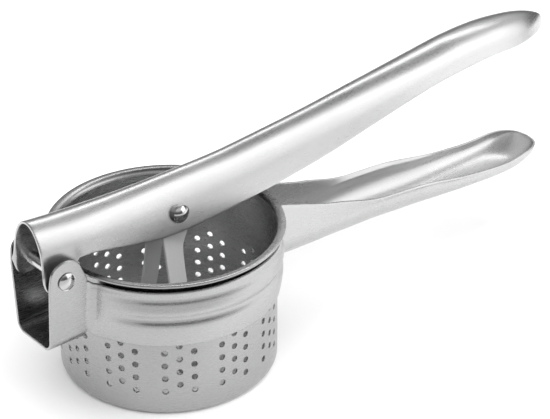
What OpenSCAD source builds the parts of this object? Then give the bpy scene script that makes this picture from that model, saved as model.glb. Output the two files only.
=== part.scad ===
// Potato ricer, closed, standing on the basket's floor.
// Origin: underside of the basket on its axis. +X runs to the handles, +Z up.

/* [Basket] */
// outer radius of the basket wall
cup_r = 40.8; // [40.4:0.1:40.9]
// height of the basket's rim above the table
cup_h = 56.9; // [56.5:0.1:57.3]
// basket sheet thickness
cup_t = 0.9; // [0.7:0.1:1.0]
// diameter of the pressing holes
hole_d = 2.7; // [2:0.1:3]
// groups of holes round the wall
hole_groups = 12; // [8:1:12]

/* [Frame band] */
// thickness of the band's sheet
band_t = 1.0; // [0.8:0.1:1.1]
// depth of the two pressed grooves
groove = 0.7; // [0.3:0.1:0.8]
// outer half width of the pivot bracket
cheek_y = 11.9; // [11.5:0.05:12.1]

/* [Handles] */
// thickness of both handles' sheet
lever_t = 1.0; // [0.8:0.1:1.1]
// outer half width of the lever between the cheeks
lever_w = 9.9; // [9.7:0.05:9.95]
// outer half width of the lower handle at mid length
grip_w = 12.2; // [11.4:0.2:13]

/* [Plunger] */
// radius of the pressing disc
disc_r = 36; // [34:0.5:36]
// thickness of the pressing disc
disc_t = 1.2; // [1:0.1:1.5]
// outward lean of the stem's legs, degrees
splay = 17; // [12:1:18]

/* [Hidden] */

pivot = [-52, 0, 58.4];
pin = [0, 0, 64.8];
pin_r = 2.0;
run_gap = 0.06;
disc_z = cup_t + 0.4;
disc_x = -2;

steel = [0.78, 0.78, 0.79];
dark = [0.62, 0.62, 0.64];

// ---------- shared curve helpers ----------
// smooth value at u through [u, value] pairs
function seg(u, p, i = 0) = (i >= len(p) - 2 || u < p[i + 1][0]) ? i : seg(u, p, i + 1);
function slope(p, i) =
    i <= 0 ? (p[1][1] - p[0][1]) / (p[1][0] - p[0][0]) :
    i >= len(p) - 1 ? (p[i][1] - p[i - 1][1]) / (p[i][0] - p[i - 1][0]) :
    (p[i + 1][1] - p[i - 1][1]) / (p[i + 1][0] - p[i - 1][0]);
function hermite(t, a, b, ma, mb) =
    (2 * t * t * t - 3 * t * t + 1) * a + (t * t * t - 2 * t * t + t) * ma
    + (3 * t * t - 2 * t * t * t) * b + (t * t * t - t * t) * mb;
function curve(u, p) =
    let (i = seg(u, p), d = p[i + 1][0] - p[i][0], t = (u - p[i][0]) / d)
    hermite(t, p[i][1], p[i + 1][1], slope(p, i) * d, slope(p, i + 1) * d);
function pw(v, e) = v <= 0 ? 0 : pow(v, e);
// rounded end: 1 up to x0, falling to 0 at x1
function tip(x, x0, x1, f, p) = x <= x0 ? 1 : pw(1 - pow(min(1, (x - x0) / (x1 - x0)), f), p);
// points of a round arch of half width w and height a, standing on z
function arch(w, a, z, n) = [for (i = [0 : n]) let (t = 180 * i / n, c = cos(t))
    [sign(c) * w * pw(abs(c), 0.95), z + a * pw(sin(t), 0.95)]];

module sweep(xs, secs) {
    n = len(xs);
    m = len(secs[0]);
    pts = [for (i = [0 : n - 1]) for (q = secs[i]) [xs[i], q[0], q[1]]];
    sides = [for (i = [0 : n - 2]) for (j = [0 : m - 1]) let (k = (j + 1) % m)
        [i * m + j, (i + 1) * m + j, (i + 1) * m + k, i * m + k]];
    first = [for (j = [0 : m - 1]) j];
    last = [for (j = [m - 1 : -1 : 0]) (n - 1) * m + j];
    polyhedron(points = pts, faces = concat([first, last], sides), convexity = 6);
}

// upright plate outline given in x and z, from y0 to y1
module side_plate(y0, y1) {
    translate([0, y1, 0]) rotate([90, 0, 0]) linear_extrude(y1 - y0) children();
}

module cross_bore(at, r) {
    translate(at) rotate([90, 0, 0]) cylinder(r = r, h = 60, center = true, $fn = 48);
}

// ---------- basket ----------
rim_r = 44;
flare_z = cup_h - 2.6;

module cup_outline() {
    r = cup_r;
    t = cup_t;
    c = 3;
    polygon(concat(
        [[0, 0]],
        [for (a = [-90 : 15 : 0]) [r - c + c * cos(a), c + c * sin(a)]],
        [[r, flare_z]],
        [for (a = [180 : -15 : 90]) [r + 1.7 + 1.7 * cos(a), flare_z + 1.7 * sin(a)]],
        [for (a = [-90 : 30 : 90]) [rim_r - 0.45 + 0.45 * cos(a), cup_h - 0.45 + 0.45 * sin(a)]],
        [for (a = [90 : 15 : 180]) [r + 1.7 + (1.7 + t) * cos(a), flare_z + (1.7 + t) * sin(a)]],
        [for (a = [0 : -15 : -90]) [r - c + (c - t) * cos(a), c + (c - t) * sin(a)]],
        [[0, t]]));
}

module wall_hole(a, z) {
    rotate([0, 0, a]) translate([cup_r - 3, 0, z]) rotate([0, 90, 0])
        cylinder(d = hole_d, h = 6, $fn = 20);
}

module wall_holes() {
    for (g = [0 : hole_groups - 1]) {
        for (k = [-1 : 1])
            for (j = [0 : 3])
                wall_hole(360 * g / hole_groups + 7.5 * k - 1, 10.5 + 5.5 * j + (k == 0 ? 2.75 : 0));
    }
}

module floor_holes() {
    for (q = [1 : 5])
        for (a = [0 : 60 / q : 359])
            rotate([0, 0, a]) translate([6.6 * q, 0, -1]) cylinder(d = hole_d, h = 4, $fn = 20);
}

module basket() {
    color(steel) difference() {
        rotate_extrude($fn = 120) cup_outline();
        wall_holes();
        floor_holes();
    }
}

// ---------- frame band: ring, cheeks and web from one sheet ----------
ring_lo = 30.6;
ring_hi = 53;
ring_r = 43;
web_z = 30;
bend_r = 3.5;
end_x = -59.6;
bend_c = [-sqrt(pow(ring_r - 0.2 + bend_r, 2) - pow(cheek_y + bend_r, 2)), cheek_y + bend_r];
bend_a = atan2(bend_c[1], -bend_c[0]);

function dent(z, at, half) = abs(z - at) >= half ? 0 : 0.5 + 0.5 * cos(180 * (z - at) / half);
function hug(z) = z > 39 ? 0 : 0.95 * pow((39 - z) / (39 - ring_lo), 1.6);
function ring_out(z, g) = ring_r - hug(z) - g * (dent(z, 50.3, 2.6) + dent(z, 41.9, 3));

module ring_outline(g) {
    n = 23;
    zs = [for (i = [0 : n]) ring_lo + (ring_hi - ring_lo) * i / n];
    polygon(concat([for (z = zs) [ring_out(z, g), z]],
                   [for (i = [n : -1 : 0]) [ring_out(zs[i], g) - band_t, zs[i]]]));
}

module ring() {
    plain = 33;
    rotate([0, 0, -180 + plain]) rotate_extrude(angle = 360 - 2 * plain, $fn = 120) ring_outline(groove);
    for (s = [0, 1]) mirror([0, s, 0])
        rotate([0, 0, 180 - plain]) rotate_extrude(angle = plain - bend_a, $fn = 120) ring_outline(0);
}

// concave bend from the ring into a cheek, seen from above
module bend_plan() {
    n = 8;
    a0 = -bend_a;
    a1 = -90;
    arc = [for (i = [0 : n]) a0 + (a1 - a0) * i / n];
    polygon(concat(
        [for (a = arc) bend_c + bend_r * [cos(a), sin(a)]],
        [[bend_c[0] - 0.5, cheek_y], [bend_c[0] - 0.5, cheek_y - band_t]],
        [for (i = [n : -1 : 0]) bend_c + (bend_r + band_t) * [cos(arc[i]), sin(arc[i])]]));
}

module cheek_outline() {
    e = [pivot[0], pivot[2]];
    union() {
        polygon([[end_x, web_z - 1], [bend_c[0], web_z - 1], [bend_c[0], 53.2], [-44.2, 54.6], [-45.2, 60],
                 [-47, 63], [-56, 63], [end_x, 55]]);
        translate(e + [-0.1, 0.9]) circle(r = 6.75, $fn = 64);
        translate([end_x, web_z - 1]) square([6, pivot[2] - web_z]);
    }
}

module trough_section() {
    r = 4.4;
    difference() {
        union() {
            translate([-cheek_y, web_z + r]) square([2 * cheek_y, 60]);
            translate([-cheek_y + r, web_z]) square([2 * (cheek_y - r), 20]);
            for (s = [-1, 1]) translate([s * (cheek_y - r), web_z + r]) circle(r = r, $fn = 48);
        }
        translate([-cheek_y + band_t, web_z + r]) square([2 * (cheek_y - band_t), 70]);
        translate([-cheek_y + r, web_z + band_t]) square([2 * (cheek_y - r), 20]);
        for (s = [-1, 1]) translate([s * (cheek_y - r), web_z + r]) circle(r = r - band_t, $fn = 48);
    }
}

module bracket() {
    intersection() {
        translate([end_x, 0, 0]) rotate([90, 0, 90]) linear_extrude(bend_c[0] - end_x) trough_section();
        side_plate(-20, 20) cheek_outline();
    }
    difference() {
        translate([bend_c[0] - 0.5, -cheek_y + 3, web_z]) cube([8, 2 * cheek_y - 6, band_t]);
        cylinder(r = cup_r + 0.4, h = 100, $fn = 120);
    }
}

module frame_band() {
    color(steel) difference() {
        union() {
            ring();
            bracket();
            for (s = [0, 1]) mirror([0, s, 0])
                translate([0, 0, ring_lo + 0.15]) linear_extrude(ring_hi - 0.6 - ring_lo) bend_plan();
        }
        cross_bore(pivot, pin_r + 0.02);
    }
}

// ---------- lever ----------
crown = [[-58.7, 78.9], [-47, 77.9], [-35, 77.3], [-18, 76.9], [9, 77.2], [26, 77.7], [43, 79.2], [68, 81.7],
         [88, 84.2], [104, 86.1], [119, 87.9], [130, 89.3], [139, 90.4], [150, 91], [160, 91], [170, 90.4],
         [180, 89.3], [194, 87.5]];
skirt = [[-45, 64.2], [-38, 63.6], [-29, 61.7], [-20, 59.9], [-7, 58], [5, 57.9], [23, 59.2], [46, 62],
         [70, 65.8], [90, 70.3], [108, 74.3], [124, 77.6], [140, 79.7], [157, 81.1], [170, 80.6], [183, 80.4],
         [194, 80.4]];
lever_tip = 194;

function lever_half(x, t) =
    (lever_w + 1.1 * pw(min(1, max(0, (x - 40) / 115)), 1.5)) * tip(x, 155, lever_tip - t + 0.02, 2.37, 0.8);
function lever_deep(x, t) =
    (curve(x, crown) - curve(max(x, -45), skirt)) * tip(x, 172, lever_tip - t + 0.02, 2.65, 0.34);
// leaning walls running smoothly into an arch that starts at the angle lean_a
lean_a = 26;
keep = tan(lean_a) * (1 - sin(lean_a)) / cos(lean_a);
function lever_sec(x, t, lo) =
    let (h = lever_half(x, t), d = lever_deep(x, t), rim = curve(max(x, -45), skirt), wall = 0.5 * d,
         top = h - keep * h / (d - wall + keep * wall) * wall,
         a = top / cos(lean_a), b = (d - wall) / (1 - sin(lean_a)), z = rim + wall - b * sin(lean_a),
         s = min(t, 0.9 * top), foot = max(0.02, h - s))
    concat([[foot, lo], [foot, rim]],
           [for (i = [0 : 20]) let (q = lean_a + (180 - 2 * lean_a) * i / 20)
               [(a - s) * cos(q), z + (b - s) * sin(q)]],
           [[-foot, rim], [-foot, lo]]);

lever_xs = concat([for (x = [end_x : 5.4 : 170]) x], [172, 175, 178, 181, 184, 186.5, 188.5, 190.2, 191.6, 192.6]);

module lever_outline() {
    xs = concat([for (x = [-45 : 4 : 187]) x], [190, 194, 196]);
    difference() {
        union() {
            polygon(concat([for (x = xs) [x, curve(min(x, 194), skirt)]], [[196, 120], [-45, 120]]));
            translate([end_x, 60]) square([-45 - end_x + 0.01, 60]);
            intersection() {
                translate([pivot[0] - 0.2, pivot[2] + 0.4]) circle(r = 6.0, $fn = 64);
                translate([end_x, 50]) square([20, 20]);
            }
            translate([end_x, 59.4]) square([8, 4]);
            translate([end_x + 3, 58]) square([8, 8]);
        }
        translate([-44.4, 60.4]) circle(r = 3.6, $fn = 48);
    }
}

module upper_handle() {
    outer_xs = concat(lever_xs, [193.3, 193.8, lever_tip]);
    inner_xs = concat([-70], [for (i = [1 : len(lever_xs) - 1]) lever_xs[i]], [lever_tip - lever_t]);
    color(steel) difference() {
        intersection() {
            difference() {
                sweep(outer_xs, [for (x = outer_xs) lever_sec(x, 0, 48)]);
                sweep(inner_xs, [for (x = inner_xs) lever_sec(max(x, end_x), lever_t, 46)]);
            }
            side_plate(-30, 30) lever_outline();
        }
        cross_bore(pivot, pin_r + run_gap);
        cross_bore(pin, pin_r + 0.02);
    }
}

// ---------- lower handle ----------
rim_line = [[38, 53], [47, 51.7], [54, 49.2], [69, 44.2], [77, 42.1], [94, 37.3], [117, 34.9], [141, 30.8],
            [160, 28.7], [169, 28.3], [180, 29.1], [190, 29.1]];
keel = [[38, 26], [49, 25.4], [57, 24.9], [82, 24.3], [98, 23.9], [114, 22.8], [131, 21.6], [156, 20.5],
        [170, 20.5], [180, 20.7], [190, 22.1]];
grip_tip = 189.6;
grip_xs = concat([for (x = [38 : 5.5 : 165]) x], [168, 172, 176, 179.5, 182, 184, 185.8, 187.2, 188.2]);

function grip_half(x) = 10.8 + (grip_w - 10.8) * (0.5 - 0.5 * cos(180 * min(1, (x - 38) / 90)));
function grip_sec(x, t, hi) =
    let (e = grip_tip - t + 0.02, w = (grip_half(x) - t) * tip(x, 155, e, 4.4, 0.37), rim = curve(x, rim_line),
         d = (rim - curve(x, keel)) * tip(x, 165, e, 3.2, 0.8), a = min(11.2, 0.93 * d), s = min(t, 0.9 * a),
         z = rim - d + a)
    concat([[-w, hi]], [for (q = arch(w, a - s, 0, 20)) [-q[0], z - q[1]]], [[w, hi]]);

module grip_outline() {
    xs = [for (x = [38 : 4 : 190]) x];
    polygon(concat([for (x = xs) [x, curve(x, rim_line)]], [[191, 29], [191, 0], [38, 0]]));
}

module lower_handle() {
    outer_xs = concat(grip_xs, [188.9, 189.4, grip_tip]);
    inner_xs = concat([30], grip_xs, [grip_tip - lever_t]);
    color(steel) difference() {
        intersection() {
            difference() {
                sweep(outer_xs, [for (x = outer_xs) grip_sec(x, 0, 60)]);
                sweep(inner_xs, [for (x = inner_xs) grip_sec(max(x, 38), lever_t, 62)]);
            }
            side_plate(-30, 30) grip_outline();
        }
        translate([0, 0, -1]) cylinder(r = ring_r + 0.02, h = 80, $fn = 120);
    }
}

// ---------- rivets ----------
module dome(r, h) {
    rr = (r * r + h * h) / (2 * h);
    a0 = asin((rr - h) / rr);
    rotate_extrude($fn = 48)
        polygon(concat([[0, 0]], [for (i = [0 : 8]) let (a = a0 + (90 - a0) * i / 8)
            [rr * cos(a), rr * sin(a) - rr + h]]));
}

module rivet(at, half, r, h) {
    translate(at) rotate([90, 0, 0]) {
        cylinder(r = pin_r, h = 2 * half, center = true, $fn = 48);
        for (s = [0, 1]) mirror([0, 0, s]) translate([0, 0, half]) dome(r, h);
    }
}

module pivot_rivet() {
    color(steel) rivet(pivot, cheek_y, 3.4, 2);
}

module plunger_pin() {
    color(steel) rivet(pin, lever_w - 0.8, 3.5, 2.4);
}

// ---------- plunger ----------
tab_y = 5.9;
strap_t = 1.2;
tab_r = 4.0;
fold_a = [-5.3, 56.0];
fold_b = [3.3, 49.4];
fold_u = (fold_b - fold_a) / norm(fold_b - fold_a);
fold_n = [fold_u[1], -fold_u[0]];
foot_z = disc_z + disc_t;
turn_x = -1;

// outline point in the leaning leg's own plane, from its upright position
function unlean(q) =
    let (d = q - fold_a, u = d * fold_u, v = d * fold_n / cos(splay)) fold_a + u * fold_u + v * fold_n;

module leg() {
    intersection() {
        translate([fold_a[0], -tab_y, fold_a[1]])
            rotate(a = -splay, v = [fold_u[0], 0, fold_u[1]])
                translate([-fold_a[0], 0, -fold_a[1]])
                    side_plate(0, strap_t)
                        polygon([fold_a - 0.4 * fold_n, fold_b - 0.4 * fold_n, fold_b, unlean([2, 37.7]),
                                 unlean([1.5, foot_z - 1]), unlean([-6.4, foot_z - 1]), unlean([-5.7, 37.7]),
                                 fold_a]);
        translate([-40, -40, foot_z]) cube([80, 80, 80]);
    }
}

module tab_outline(m) {
    union() {
        translate([pin[0], pin[2]]) circle(r = tab_r, $fn = 48);
        translate([m ? 2 * turn_x : 0, 0]) mirror([m ? 1 : 0, 0])
            polygon([[m ? -tab_r - 2 : -tab_r, pin[2]], [m ? tab_r - 2 : tab_r, pin[2]], [5.5, 56.4], fold_b, fold_a]);
    }
}

function foot_y(x) = tab_y + tan(splay) * (([x, foot_z] - fold_a) * fold_n);

module foot() {
    x0 = -6.35;
    x1 = 1.5;
    c = 2 * turn_x;
    translate([0, 0, foot_z]) linear_extrude(strap_t)
        polygon([[x0, -foot_y(x0) + 0.3], [x1, -foot_y(x1) + 0.3],
                 [c - x0, foot_y(x0) - 0.3], [c - x1, foot_y(x1) - 0.3]]);
}

module plunger_stem() {
    color(steel) difference() {
        union() {
            side_plate(-tab_y, -tab_y + strap_t) tab_outline(false);
            side_plate(tab_y - strap_t, tab_y) tab_outline(true);
            leg();
            translate([2 * turn_x, 0, 0]) rotate([0, 0, 180]) leg();
            foot();
        }
        cross_bore(pin, pin_r + run_gap);
    }
}

module plunger_disc() {
    color(dark) translate([disc_x, 0, disc_z]) rotate_extrude($fn = 120)
        polygon([[0, 0], [disc_r - 0.3, 0], [disc_r, 0.3], [disc_r, disc_t - 0.3], [disc_r - 0.3, disc_t],
                 [0, disc_t]]);
}

basket();
frame_band();
lower_handle();
upper_handle();
pivot_rivet();
plunger_pin();
plunger_stem();
plunger_disc();
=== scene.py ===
"""Potato ricer in satin stainless steel, closed, standing on its basket.

Every piece is a pressed sheet: its outer surface is laid out as a grid of
points in millimetres, given its thickness with rounded edges, then scaled to
metres in the shared frame.
"""
import math

import bpy
import numpy as np
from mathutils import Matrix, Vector
from mathutils.geometry import delaunay_2d_cdt


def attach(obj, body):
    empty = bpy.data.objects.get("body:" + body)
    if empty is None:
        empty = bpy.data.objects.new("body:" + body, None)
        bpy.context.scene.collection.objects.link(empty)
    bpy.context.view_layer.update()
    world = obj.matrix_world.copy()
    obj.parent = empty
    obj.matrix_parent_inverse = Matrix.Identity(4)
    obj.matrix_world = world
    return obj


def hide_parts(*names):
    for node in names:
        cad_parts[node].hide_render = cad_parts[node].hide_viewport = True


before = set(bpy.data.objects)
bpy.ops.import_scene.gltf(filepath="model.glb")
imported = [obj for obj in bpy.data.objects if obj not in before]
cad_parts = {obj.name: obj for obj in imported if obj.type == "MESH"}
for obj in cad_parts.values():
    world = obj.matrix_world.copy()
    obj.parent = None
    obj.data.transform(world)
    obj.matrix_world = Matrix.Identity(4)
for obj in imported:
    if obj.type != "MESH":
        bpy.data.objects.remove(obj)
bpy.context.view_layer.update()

MM = 0.001
SHARP_DEG = 40                 # edges that turn by more than this are shaded sharp

# ---------------------------------------------------------------- dimensions
CUP_R = 40.8
CUP_H = 56.9
CUP_T = 0.9
CUP_CORNER = 3.0
CUP_EDGE = 0.22                # radius of the rim's edge
RIM_R = 44.0
HOLE_R = 1.35

SHEET_EDGE = 0.3               # radius of the edges of the other sheets
BAND_T = 1.0
RING_R = 43.0
RING_LOW = 31.0
RING_TOP = 53.0
CHEEK_Y = 12.6                 # outer half width of the bracket at the pivot
CHEEK_LEAN = 0.0745            # how much it narrows per millimetre downwards
END_X = -58.7
BEND_R = 3.5
WEB_Z = 30.0
WEB_R = 4.4

LEVER_T = 1.0
LEVER_W = 9.9
LEVER_TIP = 194.0
GRIP_TIP = 189.6

PIVOT = (-52.0, 58.4)
PIN = (0.0, 64.8)
PIN_R = 2.0

TAB_Y = 5.9
STRAP_T = 1.2
SPLAY = math.tan(math.radians(17))
FOLD_A = np.array([-5.3, 56.0])
FOLD_B = np.array([3.3, 49.4])
TURN_X = -1.0
DISC_R = 36.0
DISC_T = 1.2
DISC_Z = 1.3
DISC_X = -2.0
FOOT_BEND = 2.0                # radius of the stem's turn onto the disc


# ---------------------------------------------------------------- curves
def curve(u, knots):
    """Smooth value at u through (u, value) pairs."""
    i = 0
    while i < len(knots) - 2 and u >= knots[i + 1][0]:
        i += 1

    def slope(k):
        a, b = max(k - 1, 0), min(k + 1, len(knots) - 1)
        return (knots[b][1] - knots[a][1]) / (knots[b][0] - knots[a][0])

    (u0, a), (u1, b) = knots[i], knots[i + 1]
    d = u1 - u0
    t = (u - u0) / d
    return ((2 * t**3 - 3 * t**2 + 1) * a + (t**3 - 2 * t**2 + t) * slope(i) * d
            + (3 * t**2 - 2 * t**3) * b + (t**3 - t**2) * slope(i + 1) * d)


def smooth(a, b, x):
    """0 up to a, 1 from b on, and an S-shaped rise between them."""
    t = min(1.0, max(0.0, (x - a) / (b - a)))
    return t * t * (3 - 2 * t)


def lerp(a, b, t):
    return a + (b - a) * t


def along(points, count):
    """count points spread evenly by length along a smooth line through points."""
    p = [np.array(q, float) for q in points]
    p = [2 * p[0] - p[1]] + p + [2 * p[-1] - p[-2]]
    fine = []
    for i in range(1, len(p) - 2):
        for t in np.linspace(0, 1, 24, endpoint=False):
            fine.append(0.5 * (2 * p[i] + (p[i + 1] - p[i - 1]) * t
                               + (2 * p[i - 1] - 5 * p[i] + 4 * p[i + 1] - p[i + 2]) * t**2
                               + (3 * p[i] - p[i - 1] - 3 * p[i + 1] + p[i + 2]) * t**3))
    fine.append(p[-2])
    fine = np.array(fine)
    walk = np.concatenate([[0], np.cumsum(np.linalg.norm(np.diff(fine, axis=0), axis=1))])
    want = np.linspace(0, walk[-1], count)
    return np.stack([np.interp(want, walk, fine[:, k]) for k in range(fine.shape[1])], axis=1)


def arc(cx, cy, r, a0, a1, n):
    """n + 1 points of a circle's arc between two angles in degrees."""
    return [(cx + r * math.cos(math.radians(lerp(a0, a1, i / n))),
             cy + r * math.sin(math.radians(lerp(a0, a1, i / n)))) for i in range(n + 1)]


# ---------------------------------------------------------------- sheet maker
def grid_faces(nu, nv):
    """Four-sided faces between nu columns of nv points each."""
    return [(i * nv + j, (i + 1) * nv + j, (i + 1) * nv + j + 1, i * nv + j + 1)
            for i in range(nu - 1) for j in range(nv - 1)]


def face_normal(p):
    n = np.zeros(3)
    for k in range(len(p)):
        a, b = p[k], p[(k + 1) % len(p)]
        n += np.cross(a, b)
    return n


def thicken(verts, faces, thick, edge, rounds):
    """A closed sheet from its outer surface, with edges rounded to radius edge."""
    verts = np.array(verts, float)
    normals = np.zeros_like(verts)
    face_n = []
    for f in faces:
        n = face_normal(verts[list(f)])
        face_n.append(n / (np.linalg.norm(n) + 1e-12))
        normals[list(f)] += n
    normals /= np.linalg.norm(normals, axis=1, keepdims=True) + 1e-12
    owner = {}
    for k, f in enumerate(faces):
        for i in range(len(f)):
            owner[(f[i], f[(i + 1) % len(f)])] = k
    rim = [(e, k) for e, k in owner.items() if (e[1], e[0]) not in owner]
    out = {}
    for (a, b), k in rim:
        d = np.cross(verts[b] - verts[a], face_n[k])
        d /= np.linalg.norm(d) + 1e-12
        out[a] = out.get(a, 0) + d
        out[b] = out.get(b, 0) + d
    count = len(verts)
    points = [verts, verts - thick * normals]
    profile = [(edge * math.sin(math.radians(t)), edge - edge * math.cos(math.radians(t)))
               for t in np.linspace(0, 90, rounds + 1)[1:]]
    profile += [(d, thick - h) for d, h in reversed(profile)]
    row, extra = {}, []
    for v, d in out.items():
        d = d / (np.linalg.norm(d) + 1e-12)
        row[v] = [count * 2 + len(extra) + i for i in range(len(profile))]
        extra += [verts[v] + o * d - h * normals[v] for o, h in profile]
    solid = list(faces) + [tuple(count + i for i in reversed(f)) for f in faces]
    for (a, b), _ in rim:
        ra, rb = [a] + row[a] + [count + a], [b] + row[b] + [count + b]
        for i in range(len(ra) - 1):
            solid.append((rb[i], ra[i], ra[i + 1], rb[i + 1]))
    if extra:
        points.append(np.array(extra))
    return np.concatenate(points), solid


def add_mesh(name, verts, faces):
    mesh = bpy.data.meshes.new(name)
    faces = [tuple(int(i) for i in f) for f in faces]
    mesh.from_pydata([tuple(v) for v in np.array(verts) * MM], [], faces)
    mesh.validate()
    mesh.update()
    obj = bpy.data.objects.new(name, mesh)
    bpy.context.scene.collection.objects.link(obj)
    mesh.shade_smooth()
    mesh.set_sharp_from_angle(angle=math.radians(SHARP_DEG))
    return obj


def lathe(profile, steps):
    """Points and faces of a profile of (r, z), from the axis out and back to it, turned about Z."""
    verts, rings = [], []
    for r, z in profile:
        if r < 1e-6:
            rings.append([len(verts)])
            verts.append((0, 0, z))
            continue
        rings.append(list(range(len(verts), len(verts) + steps)))
        verts += [(r * math.cos(2 * math.pi * k / steps), r * math.sin(2 * math.pi * k / steps), z)
                  for k in range(steps)]
    faces = []
    for a, b in zip(rings, rings[1:]):
        for k in range(steps):
            m = (k + 1) % steps
            if len(a) == 1:
                faces.append((a[0], b[m], b[k]))
            elif len(b) == 1:
                faces.append((a[k], a[m], b[0]))
            else:
                faces.append((a[k], a[m], b[m], b[k]))
    return np.array(verts), faces


# ---------------------------------------------------------------- basket
CELL = 6                       # grid squares across one hole's cell
GROUPS = 12
COLUMN_DEG = 7.5
ROW_Z = 5.5
HOLE_Z0 = 10.5
TURN_DEG = -1.0
FLOOR_PITCH = 6.6
FLOOR_RINGS = 5


def basket():
    """The cup as one sheet: a wall with groups of holes, its flange and its punched floor."""
    around = int(360 / COLUMN_DEG) * CELL
    dz = ROW_Z / CELL
    z_low = HOLE_Z0 - ROW_Z / 2
    rows = int(round((ROW_Z * 4.5) / dz)) + 1
    verts, faces = [], []

    def wall(col, z, r=CUP_R):
        a = math.radians(col * COLUMN_DEG / CELL - COLUMN_DEG / 2 + TURN_DEG)
        return (r * math.cos(a), r * math.sin(a), z)

    grid = {}

    def at(col, row):
        key = (col % around, row)
        if key not in grid:
            grid[key] = len(verts)
            verts.append(wall(key[0], z_low + row * dz))
        return grid[key]

    def hole(c0, r0):
        mid = CELL / 2
        square = ([(i, 0) for i in range(CELL)] + [(CELL, i) for i in range(CELL)]
                  + [(CELL - i, CELL) for i in range(CELL)] + [(0, CELL - i) for i in range(CELL)])
        last = [at(c0 + i, r0 + j) for i, j in square]
        width = math.radians(COLUMN_DEG / CELL) * CUP_R
        for share in (0.45, 0.8, 1.0):
            ring = []
            for i, j in square:
                x, y = (i - mid) * width, (j - mid) * dz
                d = math.hypot(x, y)
                k = lerp(1, HOLE_R / d, share)
                ring.append(len(verts))
                verts.append(wall(c0 + mid + x * k / width, z_low + (r0 + mid) * dz + y * k))
            n = len(ring)
            for k in range(n):
                m = (k + 1) % n
                faces.append((last[k], last[m], ring[m], ring[k]))
            last = ring

    taken = set()
    for g in range(GROUPS):
        for column, start in ((-1, 0), (0, CELL // 2), (1, 0)):
            c0 = (g * 4 + column) * CELL
            for j in range(4):
                hole(c0, start + j * CELL)
                taken |= {((c0 + a) % around, start + j * CELL + b)
                          for a in range(CELL) for b in range(CELL)}
    for c in range(around):
        for r in range(rows - 1):
            if (c, r) not in taken:
                faces.append((at(c, r), at(c + 1, r), at(c + 1, r + 1), at(c, r + 1)))

    def ring_at(r, z):
        first = len(verts)
        verts.extend(wall(c, z, r) for c in range(around))
        return [first + c for c in range(around)]

    def join(low, high):
        for c in range(around):
            m = (c + 1) % around
            faces.append((low[c], low[m], high[m], high[c]))

    # above the holes: wall, flare and flange
    flare = CUP_H - CUP_T - 1.7
    up = [(CUP_R, z) for z in np.linspace(z_low + rows * dz, flare, 16)]
    up += arc(CUP_R + 1.7, flare, 1.7, 180, 90, 8)[1:]
    up += [(43.1, CUP_H - CUP_T), (RIM_R - CUP_EDGE, CUP_H - CUP_T)]
    low = [at(c, rows - 1) for c in range(around)]
    for r, z in up:
        high = ring_at(r, z)
        join(low, high)
        low = high
    # below the holes: wall, corner and the flat floor
    down = [(CUP_R, z) for z in np.linspace(z_low - dz, CUP_CORNER, 6)]
    down += arc(CUP_R - CUP_CORNER, CUP_CORNER, CUP_CORNER, 0, -90, 9)[1:]
    high = [at(c, 0) for c in range(around)]
    for r, z in down:
        low = ring_at(r, z)
        join(low, high)
        high = low
    floor_sheet(verts, faces, high)
    return thicken(verts, faces, CUP_T, CUP_EDGE, 2)


def floor_sheet(verts, faces, border):
    """Flat floor inside a border ring, punched with rings of holes."""
    flat = [Vector(verts[k][:2]) for k in border]
    loops = [list(range(len(flat)))]
    centres = []
    for q in range(1, FLOOR_RINGS + 1):
        for k in range(6 * q):
            a = math.radians(60 / q * k)
            centres.append((FLOOR_PITCH * q * math.cos(a), FLOOR_PITCH * q * math.sin(a)))
    for x, y in centres:
        first = len(flat)
        flat += [Vector(p) for p in arc(x, y, HOLE_R, 0, 360, 20)[:-1]]
        loops.append(list(range(first, len(flat)))[::-1])
    points, _, tris, origin, _, _ = delaunay_2d_cdt(flat, [], loops, 1, 1e-6)
    index = []
    for p, src in zip(points, origin):
        if src and src[0] < len(border):
            index.append(border[src[0]])
        else:
            index.append(len(verts))
            verts.append((p.x, p.y, 0.0))
    for t in tris:
        cx = sum(points[i].x for i in t) / len(t)
        cy = sum(points[i].y for i in t) / len(t)
        if all(math.hypot(cx - x, cy - y) > HOLE_R * 0.985 for x, y in centres):
            faces.append(tuple(index[i] for i in reversed(t)))


# ---------------------------------------------------------------- frame band
BEADS = ((50.3, 2.6, 0.54), (41.9, 3.0, 0.66))   # height, half width and depth of each groove
SWELL_Z, SWELL_HALF, SWELL = 45.2, 3.4, 0.25


def ring_radius(z, from_bracket):
    """Outer radius of the pressed band at height z, degrees away from the bracket."""
    hug = max(0.0, (39 - z) / 8) ** 1.6
    step = 0.15 * smooth(51.2, 52.0, z)
    fade = smooth(20, 46, from_bracket)
    dents = sum(max(0.0, math.cos(math.radians(min(90, abs(z - at) / half * 90)))) ** 2 * deep
                for at, half, deep in BEADS)
    swell = SWELL * max(0.0, math.cos(math.radians(min(90, abs(z - SWELL_Z) / SWELL_HALF * 90)))) ** 2
    return RING_R - hug - step - dents * fade + swell * fade


# the cheek's round end, as (x, z)
EAR = [(-58.7, 56.3), (-58.4, 60.2), (-57.6, 63.4), (-55.5, 65.4), (-52.3, 66.2), (-49.2, 65.5),
       (-46.7, 63.4), (-45.4, 60.0), (-44.8, 56.3), (-43.8, 54.6)]
CHEEK_COLS, BEND_COLS, HALF_RING, BAND_ROWS = 30, 12, 120, 52


def cheek_half(z):
    """Outer half width of the bracket, whose cheeks lean outwards towards the pivot."""
    return CHEEK_Y + CHEEK_LEAN * (z - PIVOT[1])


def bend_centre(r, z):
    y = cheek_half(z) + BEND_R
    return -math.sqrt((r + BEND_R) ** 2 - y * y), y


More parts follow.
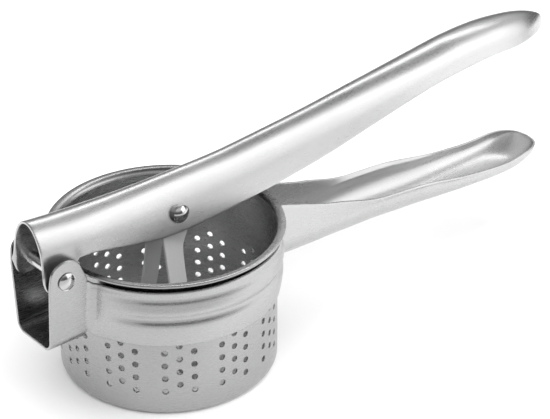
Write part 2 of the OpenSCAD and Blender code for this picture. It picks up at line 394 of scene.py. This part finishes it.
def half_band():
    """Columns of points from the cheek's outer end to the middle of the ring, on the +Y side."""
    rows = np.linspace(0, 1, BAND_ROWS)
    plate_low = WEB_Z + WEB_R
    ear = along(EAR, CHEEK_COLS)
    cols = []
    foot_end = bend_centre(ring_radius(plate_low, 0), plate_low)[0]
    for i in range(CHEEK_COLS):
        s = i / (CHEEK_COLS - 1)
        foot = lerp(END_X, foot_end, s)
        col = []
        for v in rows:
            z = lerp(ear[i][1], plate_low, v)
            x = lerp(ear[i][0], foot, v)
            if s > 0.75:
                x = lerp(x, bend_centre(ring_radius(z, 0), z)[0], smooth(0.75, 1, s))
            col.append((x, cheek_half(z), z))
        cols.append(col)
    for i in range(1, BEND_COLS + 1):
        s = i / BEND_COLS
        top = lerp(EAR[-1][1], RING_TOP, smooth(0, 0.6, s))
        low = lerp(plate_low, RING_LOW, smooth(0, 0.7, s))
        col = []
        for v in rows:
            z = lerp(top, low, v)
            cx, cy = bend_centre(ring_radius(z, 0), z)
            a = math.radians(lerp(-90, math.degrees(math.atan2(-cy, -cx)), s))
            col.append((cx + BEND_R * math.cos(a), cy + BEND_R * math.sin(a), z))
        cols.append(col)
    for i in range(1, HALF_RING + 1):
        col = []
        for v in rows:
            z = lerp(RING_TOP, RING_LOW, v)
            cx, cy = bend_centre(ring_radius(z, 0), z)
            off = lerp(math.degrees(math.atan2(cy, -cx)), 180, i / HALF_RING)
            r = ring_radius(z, off)
            a = math.radians(180 - off)
            col.append((r * math.cos(a), r * math.sin(a), z))
        cols.append(col)
    return cols


def frame_band():
    """Ring, two cheeks and the web below them, as one sheet."""
    far = half_band()
    near = [[(x, -y, z) for x, y, z in col] for col in far]
    cols = near + far[-2::-1]
    verts = [p for col in cols for p in col]
    nu, nv = len(cols), BAND_ROWS
    faces = grid_faces(nu, nv)
    # the web: from the near cheek's lower row, under the channel, to the far cheek's
    low_half = cheek_half(WEB_Z + WEB_R)
    flat = low_half - WEB_R
    section = arc(-flat, WEB_Z + WEB_R, WEB_R, 180, 270, 10)[1:]
    section += [(y, WEB_Z) for y in np.linspace(-flat, flat, 15)[1:-1]]
    section += arc(flat, WEB_Z + WEB_R, WEB_R, 270, 360, 10)[:-1]
    inner_end = cols[CHEEK_COLS - 1][-1][0]
    strips = []
    for i in range(CHEEK_COLS):
        share = (cols[i][-1][0] - END_X) / (inner_end - END_X)
        strip = [i * nv + nv - 1]
        for y, z in section:
            reach = -math.sqrt((CUP_R + 0.5) ** 2 - y * y)
            inner = lerp(inner_end, reach, smooth(flat, flat - 3, abs(y)))
            strip.append(len(verts))
            verts.append((lerp(END_X, inner, share), y, z))
        strip.append((nu - 1 - i) * nv + nv - 1)
        strips.append(strip)
    for a, b in zip(strips, strips[1:]):
        for k in range(len(a) - 1):
            faces.append((a[k], b[k], b[k + 1], a[k + 1]))
    return thicken(verts, outward(verts, faces, nu, nv), BAND_T, SHEET_EDGE, 3)


def outward(verts, faces, nu, nv):
    """Turns every face so that the ring's outer side is out."""
    p = np.array(verts)
    mid = faces[(nu // 2) * (nv - 1) + nv // 2]
    n = face_normal(p[list(mid)])
    if n @ p[list(mid)].mean(axis=0) < 0:
        faces = [f[::-1] for f in faces]
    return faces


# ---------------------------------------------------------------- handles
# Side outlines as (x, z). The heights in CROWN, SKIRT, RIM_LINE and KEEL are the output of a fit that was
# made outside this script; LOBE, the lever's round end, was typed one by one.
CROWN = [(-58.7, 78.9), (-47, 77.9), (-35, 77.3), (-18, 76.9), (9, 77.2), (26, 77.7), (43, 79.2),
         (68, 81.7), (88, 84.2), (104, 86.1), (119, 87.9), (130, 89.3), (139, 90.4), (150, 91.0),
         (160, 91.0), (170, 90.4), (180, 89.3), (188, 88.1)]
SKIRT = [(-44.4, 64.0), (-38, 63.6), (-29, 61.7), (-20, 59.9), (-7, 58.0), (5, 57.9), (23, 59.2),
         (46, 62.0), (70, 65.8), (90, 70.3), (108, 74.3), (124, 77.6), (140, 79.7), (157, 81.1),
         (170, 80.6), (183, 80.4), (194, 80.4)]
LOBE = [(-58.7, 60.4), (-58.6, 57.6), (-57.4, 54.6), (-53.6, 53.0), (-50.0, 54.1), (-47.9, 57.2),
        (-46.6, 61.0), (-44.4, 64.0)]
RIM_LINE = [(38, 53), (47, 51.7), (54, 49.2), (69, 44.2), (77, 42.1), (94, 37.3), (117, 34.9),
            (141, 30.8), (160, 28.7), (169, 28.3), (180, 29.1), (188, 29.1)]
KEEL = [(38, 26.0), (49, 25.4), (57, 24.9), (82, 24.3), (98, 23.9), (114, 22.8), (131, 21.6),
        (156, 20.5), (170, 20.5), (180, 20.7), (190, 22.1)]
LEAN_DEG = 26.0                # where the lever's leaning walls turn into its arch
WALL_SHARE = 0.35              # the walls' part of the lever's depth
ARCH_RISE = 11.2               # height of the lower handle's round bottom
STATION_STEP = 2.6
TIP_STATIONS = 26
LEVER_ROUND_X, GRIP_ROUND_X = 160, 165     # where the closer stations begin
# How each tip is rounded, from above and from the side: start, end and the two powers of tip_share.
LEVER_PLAN, LEVER_SIDE = (155, LEVER_TIP, 2.37, 0.8), (172, LEVER_TIP, 2.65, 0.34)
GRIP_PLAN, GRIP_SIDE = (155, GRIP_TIP, 4.4, 0.37), (165, GRIP_TIP, 3.2, 0.8)
LEVER_GAIN = 1.1               # how much the lever's half width grows towards the tip
GRIP_ROOT_W, GRIP_GAIN = 10.8, 1.4         # half width at the ring, and its growth towards the tip
TROUGH_CLOSING = 0.07          # share by which the trough's walls close in
TROUGH_SQUARE = 0.95
WALL_ROWS, ARCH_ROWS = 10, 40


def tip_share(x, x0, x1, fall, power):
    """1 up to x0, then falling to 0 at x1 like a rounded end."""
    return 1.0 if x <= x0 else max(0.0, 1 - ((x - x0) / (x1 - x0)) ** fall) ** power


def stations(x0, x_round, x_tip, step):
    """Even steps to x_round, then closer and closer ones to the round tip."""
    n = int((x_round - x0) / step)
    xs = list(np.linspace(x0, x_round, n, endpoint=False))
    xs += [x_round + (x_tip - x_round) * math.sin(math.radians(90 * i / TIP_STATIONS))
           for i in range(TIP_STATIONS)]
    return xs + [x_tip - 0.012]


def arch_points(half, rise, n, square):
    """Across an arch from +half over the top to -half, as (y, height); square 1 is an ellipse."""
    out = []
    for i in range(n + 1):
        t = math.pi * i / n
        c, s = math.cos(t), math.sin(t)
        out.append((math.copysign(abs(c) ** square, c) * half, max(s, 0.0) ** square * rise))
    return out


def upper_handle():
    """The arched lever, open below, from its round end at the pivot to its tip."""
    heel = 26
    lobe = along(LOBE, heel + 1)
    xs = list(np.linspace(END_X, LOBE[-1][0], heel + 1))
    xs += stations(LOBE[-1][0], LEVER_ROUND_X, LEVER_TIP, STATION_STEP)[1:]
    turn = math.radians(LEAN_DEG)
    keep = math.tan(turn) * (1 - math.sin(turn)) / math.cos(turn)
    verts = []
    for k, x in enumerate(xs):
        half = LEVER_W + LEVER_GAIN * max(0.0, min(1.0, (x - 40) / 115)) ** 1.5
        half *= tip_share(x, *LEVER_PLAN)
        foot_x, foot_z = (lobe[k] if k <= heel else (x, curve(x, SKIRT)))
        rim = curve(max(x, LOBE[-1][0]), SKIRT)
        deep = (curve(x, CROWN) - rim) * tip_share(x, *LEVER_SIDE)
        # leaning walls that run smoothly into an arch of half width a and height b
        wall = WALL_SHARE * deep
        lean = keep * half / (deep - wall + keep * wall)
        top = half - lean * wall
        a, b = top / math.cos(turn), (deep - wall) / (1 - math.sin(turn))
        side = []
        for j in range(WALL_ROWS):
            t = j / WALL_ROWS
            side.append((lerp(foot_x, x, t), lerp(half, top, t), lerp(foot_z, rim + wall, t)))
        verts += side
        for j in range(ARCH_ROWS + 1):
            t = lerp(turn, math.pi - turn, j / ARCH_ROWS)
            verts.append((x, a * math.cos(t), rim + wall + b * (math.sin(t) - math.sin(turn))))
        verts += [(p, -q, r) for p, q, r in reversed(side)]
    nv = 2 * WALL_ROWS + ARCH_ROWS + 1
    faces = [f[::-1] for f in grid_faces(len(xs), nv)]
    return thicken(verts, faces, LEVER_T, SHEET_EDGE, 3)


def lower_handle():
    """The trough, open above, from the ring to its tip."""
    xs = stations(RING_R, GRIP_ROUND_X, GRIP_TIP, STATION_STEP)
    root = RING_R + 0.02
    verts = []
    for x in xs:
        half = GRIP_ROOT_W + GRIP_GAIN * (0.5 - 0.5 * math.cos(math.pi * min(1, (x - 38) / 90)))
        half *= tip_share(x, *GRIP_PLAN)
        rim, keel = curve(x, RIM_LINE), curve(x, KEEL)
        deep = (rim - keel) * tip_share(x, *GRIP_SIDE)
        rise = min(ARCH_RISE, 0.93 * deep)
        # walls that close in a little towards the bottom, except near the ring and the tip
        low = half * (1 - TROUGH_CLOSING * smooth(44, 80, x) * (1 - smooth(120, 160, x)))
        wall = [(lerp(half, low, j / WALL_ROWS), lerp(rim, rim - deep + rise, j / WALL_ROWS))
                for j in range(WALL_ROWS)]
        bottom = arch_points(low, rise, ARCH_ROWS, TROUGH_SQUARE)
        line = wall + [(y, rim - deep + rise - h) for y, h in bottom]
        line += [(-y, z) for y, z in reversed(wall)]
        for y, z in line:
            start = math.sqrt(root * root - y * y)
            shift = (start - xs[0]) * (1 - smooth(xs[0], xs[0] + 14, x))
            verts.append((x + shift, y, z))
    nv = 2 * WALL_ROWS + ARCH_ROWS + 1
    return thicken(verts, grid_faces(len(xs), nv), LEVER_T, SHEET_EDGE, 3)


# ---------------------------------------------------------------- rivets
def rivet(centre, half, head_r, head_h, lift):
    """A shank across Y with a domed head, standing on a short neck, at each end."""
    ball = (head_r**2 + head_h**2) / (2 * head_h)
    a0 = math.degrees(math.asin((ball - head_h) / ball))
    dome = [(r, z + half + lift + head_h - ball) for r, z in arc(0, 0, ball, a0, 90, 12)]
    dome[-1] = (0.0, dome[-1][1])
    rolled = [(head_r - 0.35, half + lift), (head_r - 0.06, half + lift + 0.08),
              (head_r, half + lift + 0.3)]
    side = [(PIN_R + 0.5, 0.0), (PIN_R + 0.5, half - 1.4), (PIN_R + 0.9, half - 0.2),
            (PIN_R + 0.9, half + lift)]
    top = side[1:] + rolled + dome[1:]
    profile = [(r, -z) for r, z in reversed(top)] + top
    verts, faces = lathe(profile, 64)
    x, y, z = verts[:, 0], verts[:, 1], verts[:, 2]
    verts = np.stack([x + centre[0], -z, y + centre[1]], axis=1)
    return verts, [f[::-1] for f in faces]


# ---------------------------------------------------------------- plunger
def fold_depth(x, z):
    """How far a point of the upright outline lies below the fold."""
    u = (FOLD_B - FOLD_A) / np.linalg.norm(FOLD_B - FOLD_A)
    return (np.array([x, z]) - FOLD_A) @ np.array([u[1], -u[0]])


def plunger_stem():
    """One strap: tab, splayed leg and foot, and the same turned half round on the far side."""
    foot = DISC_Z + DISC_T + 0.02
    top = PIN[1] + 4.0
    across = 9
    tab_left = [(-2.2, top - 0.6), (-4.0, PIN[1] + 0.6), (-4.6, 60.0), tuple(FOLD_A)]
    tab_right = [(2.2, top - 0.6), (4.0, PIN[1] + 0.6), (5.5, 56.4), tuple(FOLD_B)]
    leg_left = [tuple(FOLD_A), (-5.4, 48.7), (-5.7, 37.7), (-6.2, 10.7), (-6.35, foot + FOOT_BEND)]
    leg_right = [tuple(FOLD_B), (2.7, 45.7), (2.0, 34.7), (1.6, 10.7), (1.5, foot + FOOT_BEND)]
    left = list(along(tab_left, 14)) + list(along(leg_left, 30))[1:]
    right = list(along(tab_right, 14)) + list(along(leg_right, 30))[1:]
    rows = []
    for a, b in zip(left, right):
        row = []
        for k in range(across):
            x, z = np.array(a) * (1 - k / (across - 1)) + np.array(b) * k / (across - 1)
            d = max(0.0, fold_depth(x, z))
            row.append((x, -TAB_Y - SPLAY * d * d / (d + 0.5) if d > 0 else -TAB_Y, z))
        rows.append(row)
    # rounded turn onto the disc, then across under the far leg
    turn = []
    last = rows[-1]
    for t in (0.25, 0.5, 0.75, 1.0):
        a = math.radians(90 * t)
        turn.append([(x, y + FOOT_BEND * (1 - math.cos(a)), z - FOOT_BEND * math.sin(a))
                     for x, y, z in last])
    near = rows + turn
    # the far leg is the near one turned half round; both run the same way along X
    far = [[(2 * TURN_X - x, -y, z) for x, y, z in reversed(row)] for row in reversed(near)]
    base = []
    for t in np.linspace(0, 1, 12)[1:-1]:
        base.append([tuple(lerp(np.array(p), np.array(q), t)) for p, q in zip(near[-1], far[0])])
    sheet_rows = near + base + far
    verts = [p for row in sheet_rows for p in row]
    return thicken(verts, grid_faces(len(sheet_rows), across), STRAP_T, SHEET_EDGE, 3)


def plunger_disc():
    """The flat pressing plate."""
    edge = 0.35
    top, low = DISC_Z + DISC_T, DISC_Z
    profile = [(0, low), (12, low), (24, low), (DISC_R - edge, low)]
    profile += arc(DISC_R - edge, low + edge, edge, -90, 0, 4)[1:]
    profile += arc(DISC_R - edge, top - edge, edge, 0, 90, 4)
    profile += [(24, top), (12, top), (0, top)]
    verts, faces = lathe(profile, 144)
    return verts + np.array([DISC_X, 0, 0]), faces


# ---------------------------------------------------------------- materials
class Nodes:
    """Short calls for building one material's node tree."""

    def __init__(self, name):
        self.mat = bpy.data.materials.new(name)
        self.mat.use_nodes = True
        self.tree = self.mat.node_tree
        self.shader = self.tree.nodes["Principled BSDF"]

    def node(self, kind, **values):
        n = self.tree.nodes.new("ShaderNode" + kind)
        for key, value in values.items():
            setattr(n, key, value)
        return n

    def link(self, a, b):
        self.tree.links.new(a, b)

    def place(self, scale):
        """Object coordinates in metres, stretched by scale per axis."""
        coords = self.node("TexCoord")
        mapping = self.node("Mapping")
        mapping.inputs["Scale"].default_value = scale
        self.link(coords.outputs["Object"], mapping.inputs["Vector"])
        return mapping.outputs["Vector"]

    def noise(self, scale, detail, rough=0.55):
        n = self.node("TexNoise")
        n.inputs["Scale"].default_value = 1.0
        n.inputs["Detail"].default_value = detail
        n.inputs["Roughness"].default_value = rough
        self.link(self.place(scale), n.inputs["Vector"])
        return n.outputs["Fac"]

    def fit(self, source, low, high, in_low=0.3, in_high=0.7):
        r = self.node("MapRange")
        r.inputs["From Min"].default_value = in_low
        r.inputs["From Max"].default_value = in_high
        r.inputs["To Min"].default_value = low
        r.inputs["To Max"].default_value = high
        self.link(source, r.inputs["Value"])
        return r.outputs["Result"]

    def math(self, op, a, b):
        m = self.node("Math", operation=op)
        for socket, value in zip(m.inputs, (a, b)):
            if isinstance(value, (int, float)):
                socket.default_value = value
            else:
                self.link(value, socket)
        return m.outputs["Value"]


def steel(name, grain, tone, rough, aniso, bump=0.12, spread=0.10, around=None, light_paint=None, metal=1.0):
    """Satin steel. grain is the brushing's frequency per metre; tone and metal are set for each piece,
    and their differences between pieces of the one steel are painted light and shade.
    """
    n = Nodes(name)
    s = n.shader
    s.inputs["Metallic"].default_value = metal
    s.inputs["Anisotropic"].default_value = aniso
    fine = n.noise(grain, 3.0, 0.6)
    broad = n.noise((38, 38, 38), 3.0, 0.5)
    cloud = n.noise((11, 11, 11), 2.0, 0.5)
    tint = n.node("ValToRGB")
    tint.color_ramp.elements[0].position = 0.25
    tint.color_ramp.elements[1].position = 0.75
    dark, light = tone * 0.93, tone * 1.05
    tint.color_ramp.elements[0].color = (dark, dark, dark * 1.004, 1)
    tint.color_ramp.elements[1].color = (light, light, light * 1.002, 1)
    mixed = n.math("ADD", n.math("MULTIPLY", fine, 0.55), n.math("MULTIPLY", cloud, 0.45))
    n.link(mixed, tint.inputs["Fac"])
    # painted light, where a piece is given it, is laid over the colour here
    colour = light_paint(n, tint.outputs["Color"]) if light_paint else tint.outputs["Color"]
    n.link(colour, s.inputs["Base Color"])
    r = n.math("ADD", n.fit(fine, rough - spread / 2, rough + spread / 2), n.fit(broad, -0.03, 0.03))
    n.link(r, s.inputs["Roughness"])
    b = n.node("Bump")
    b.inputs["Strength"].default_value = bump
    b.inputs["Distance"].default_value = 0.00004
    n.link(n.math("ADD", fine, n.math("MULTIPLY", broad, 0.2)), b.inputs["Height"])
    n.link(b.outputs["Normal"], s.inputs["Normal"])
    if around:
        t = n.node("Tangent", direction_type="RADIAL", axis=around)
        n.link(t.outputs["Tangent"], s.inputs["Tangent"])
    return n.mat


def scaled(n, colour, factor):
    """The colour multiplied by a factor between 0 and a few."""
    by = n.node("VectorMath", operation="SCALE")
    n.link(colour, by.inputs[0])
    n.link(factor, by.inputs["Scale"])
    return by.outputs["Vector"]


def painted_light_inside(n, colour):
    """Painted light: the inside of the cup is tinted paler than the outside, standing in for light
    bouncing inside the basket.
    """
    coords = n.node("TexCoord")
    flat = n.node("VectorMath", operation="MULTIPLY")
    flat.inputs[1].default_value = (1, 1, 0)
    n.link(coords.outputs["Object"], flat.inputs[0])
    reach = n.node("VectorMath", operation="LENGTH")
    n.link(flat.outputs["Vector"], reach.inputs[0])
    # painted light: up to 1.75 times paler on the inside of the wall and on the floor of the cup
    factor = n.fit(reach.outputs["Value"], 1.75, 1.0, (CUP_R - 0.75) * MM, (CUP_R - 0.4) * MM)
    return scaled(n, colour, factor)


def floor_with_painted_shade():
    """A white sweep with painted shade: it turns light grey a hand's width in front of the basket, on the
    camera's side, so that the steel reflects a darker floor there.
    """
    n = Nodes("studio_floor")
    n.shader.inputs["Roughness"].default_value = 0.7
    n.shader.inputs["Specular IOR Level"].default_value = 0.2
    coords = n.node("TexCoord")
    along_view = n.node("VectorMath", operation="DOT_PRODUCT")
    along_view.inputs[1].default_value = (-0.64, -0.77, 0.0)      # level, towards the camera
    n.link(coords.outputs["Object"], along_view.inputs[0])
    # painted shade: grey from 55 to 140 mm out from the origin towards the camera
    fade = n.fit(along_view.outputs["Value"], 0.0, 1.0, 0.055, 0.14)
    spot = n.noise((9, 9, 9), 2.0)
    ramp = n.node("ValToRGB")
    ramp.color_ramp.elements[0].color = (0.92, 0.92, 0.92, 1)
    ramp.color_ramp.elements[1].color = (0.56, 0.56, 0.56, 1)
    n.link(n.math("ADD", fade, n.math("MULTIPLY", spot, 0.02)), ramp.inputs["Fac"])
    n.link(ramp.outputs["Color"], n.shader.inputs["Base Color"])
    return n.mat


# ---------------------------------------------------------------- assembly
def put(name, mesh, material, body):
    """Adds one piece, which rides on a body and replaces the CAD node of its name."""
    obj = add_mesh(name, *mesh)
    obj.data.materials.append(material)
    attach(obj, body)
    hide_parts(name.replace("_sheet", "").replace("_piece", ""))


def build():
    turned = (260, 260, 5200)          # fine rings round Z
    drawn = (260, 5200, 5200)          # fine lines along X
    flat = (1500, 1500, 1500)
    # the tones differ from piece to piece as painted light and shade on one steel
    cup = steel("basket_steel", turned, tone=0.39, rough=0.27, aniso=0.4, around="Z", light_paint=painted_light_inside)
    band = steel("band_steel", turned, tone=0.45, rough=0.27, aniso=0.4, around="Z")
    lever = steel("lever_steel", drawn, tone=0.58, rough=0.30, aniso=0.3, around="X")
    # painted light: the trough is a partly non-metallic copy of the steel, so that its inside looks lit
    trough = steel("trough_steel", drawn, tone=0.54, rough=0.30, aniso=0.3, around="X", metal=0.80)
    rivets = steel("rivet_steel", flat, tone=0.60, rough=0.14, bump=0.05, spread=0.06, aniso=0.0)
    # painted light: the stem is a much lighter, half-metallic copy of the steel, so that its tab shows
    # white as if lit from the front
    strap = steel("strap_steel", (5200, 5200, 260), tone=0.86, rough=0.36, aniso=0.0, metal=0.45)
    plate = steel("disc_steel", turned, tone=0.55, rough=0.30, aniso=0.0)
    pivot = rivet(PIVOT, CHEEK_Y, head_r=3.4, head_h=1.2, lift=0.25)
    pin = rivet(PIN, LEVER_W - 0.8, head_r=3.5, head_h=1.9, lift=0.5)
    put("basket_piece", basket(), cup, "cup")
    put("frame_band_sheet", frame_band(), band, "frame")
    put("lower_handle_sheet", lower_handle(), trough, "frame")
    put("upper_handle_sheet", upper_handle(), lever, "lever")
    put("pivot_rivet_piece", pivot, rivets, "frame")
    put("plunger_pin_piece", pin, rivets, "lever")
    put("plunger_stem_sheet", plunger_stem(), strap, "plunger")
    put("plunger_disc_piece", plunger_disc(), plate, "plunger")


# ---------------------------------------------------------------- studio
VIEW_AZIMUTH = -39.52
VIEW_ELEVATION = 30.05
VIEW_AIM = (0.0480, -0.0045, 0.0467)
VIEW_DISTANCE = 0.757
VIEW_LENS = 130.9


def toward(azimuth, elevation):
    """Unit direction from the object to a camera or light; azimuth 0 stands on the -Y side."""
    a, e = math.radians(azimuth), math.radians(elevation)
    return Vector((math.sin(a) * math.cos(e), -math.cos(a) * math.cos(e), math.sin(e)))


def camera():
    data = bpy.data.cameras.new("camera")
    data.lens = VIEW_LENS
    data.sensor_width = 36.0
    data.clip_start = 0.01
    cam = bpy.data.objects.new("camera", data)
    bpy.context.scene.collection.objects.link(cam)
    cam.location = Vector(VIEW_AIM) + VIEW_DISTANCE * toward(VIEW_AZIMUTH, VIEW_ELEVATION)
    cam.rotation_euler = (-toward(VIEW_AZIMUTH, VIEW_ELEVATION)).to_track_quat("-Z", "Y").to_euler()
    bpy.context.scene.camera = cam


def softbox(name, azimuth, elevation, distance, width, height, power, seen=True):
    """A rectangular light that faces the object; seen says whether it shows in reflections."""
    data = bpy.data.lights.new(name, "AREA")
    data.shape = "RECTANGLE"
    data.size, data.size_y = width, height
    data.energy = power
    lamp = bpy.data.objects.new(name, data)
    bpy.context.scene.collection.objects.link(lamp)
    way = toward(azimuth, elevation)
    lamp.location = Vector((0.04, 0, 0.04)) + distance * way
    lamp.rotation_euler = (-way).to_track_quat("-Z", "Y").to_euler()
    lamp.visible_glossy = seen


def studio():
    """Surroundings, lights and floor."""
    scene = bpy.context.scene
    scene.view_settings.view_transform = "Standard"
    world = bpy.data.worlds.new("studio")
    scene.world = world
    world.use_nodes = True
    tree = world.node_tree
    back = tree.nodes["Background"]
    coords = tree.nodes.new("ShaderNodeTexCoord")
    split = tree.nodes.new("ShaderNodeSeparateXYZ")
    ramp = tree.nodes.new("ShaderNodeValToRGB")
    tree.links.new(coords.outputs["Generated"], split.inputs["Vector"])
    tree.links.new(split.outputs["Z"], ramp.inputs["Fac"])
    # (place, brightness) on a ramp that runs upwards with the direction's Z
    steps = ((0.0, 0.12), (0.33, 0.15), (0.46, 0.50), (0.62, 0.74), (0.80, 0.70), (0.90, 0.28),
             (1.0, 0.08))
    stops = ramp.color_ramp.elements
    while len(stops) < len(steps):
        stops.new(0.5)
    for stop, (place, level) in zip(stops, steps):
        stop.position = place
        stop.color = (level, level, level, 1)
    tree.links.new(ramp.outputs["Color"], back.inputs["Color"])
    back.inputs["Strength"].default_value = 1.0
    softbox("key_right", 45, 24, distance=1.4, width=1.3, height=1.1, power=7)
    softbox("top_back", 122, 49, distance=1.3, width=0.8, height=0.16, power=1.6)
    softbox("floor_fill", 0, 80, distance=1.6, width=3.4, height=3.4, power=62, seen=False)
    mesh = bpy.data.meshes.new("floor")
    far = 6.0
    mesh.from_pydata([(-far, -far, 0), (far, -far, 0), (far, far, 0), (-far, far, 0)], [], [(0, 1, 2, 3)])
    floor = bpy.data.objects.new("floor", mesh)
    floor.location.z = -0.0002
    scene.collection.objects.link(floor)
    floor.data.materials.append(floor_with_painted_shade())


build()
camera()
studio()
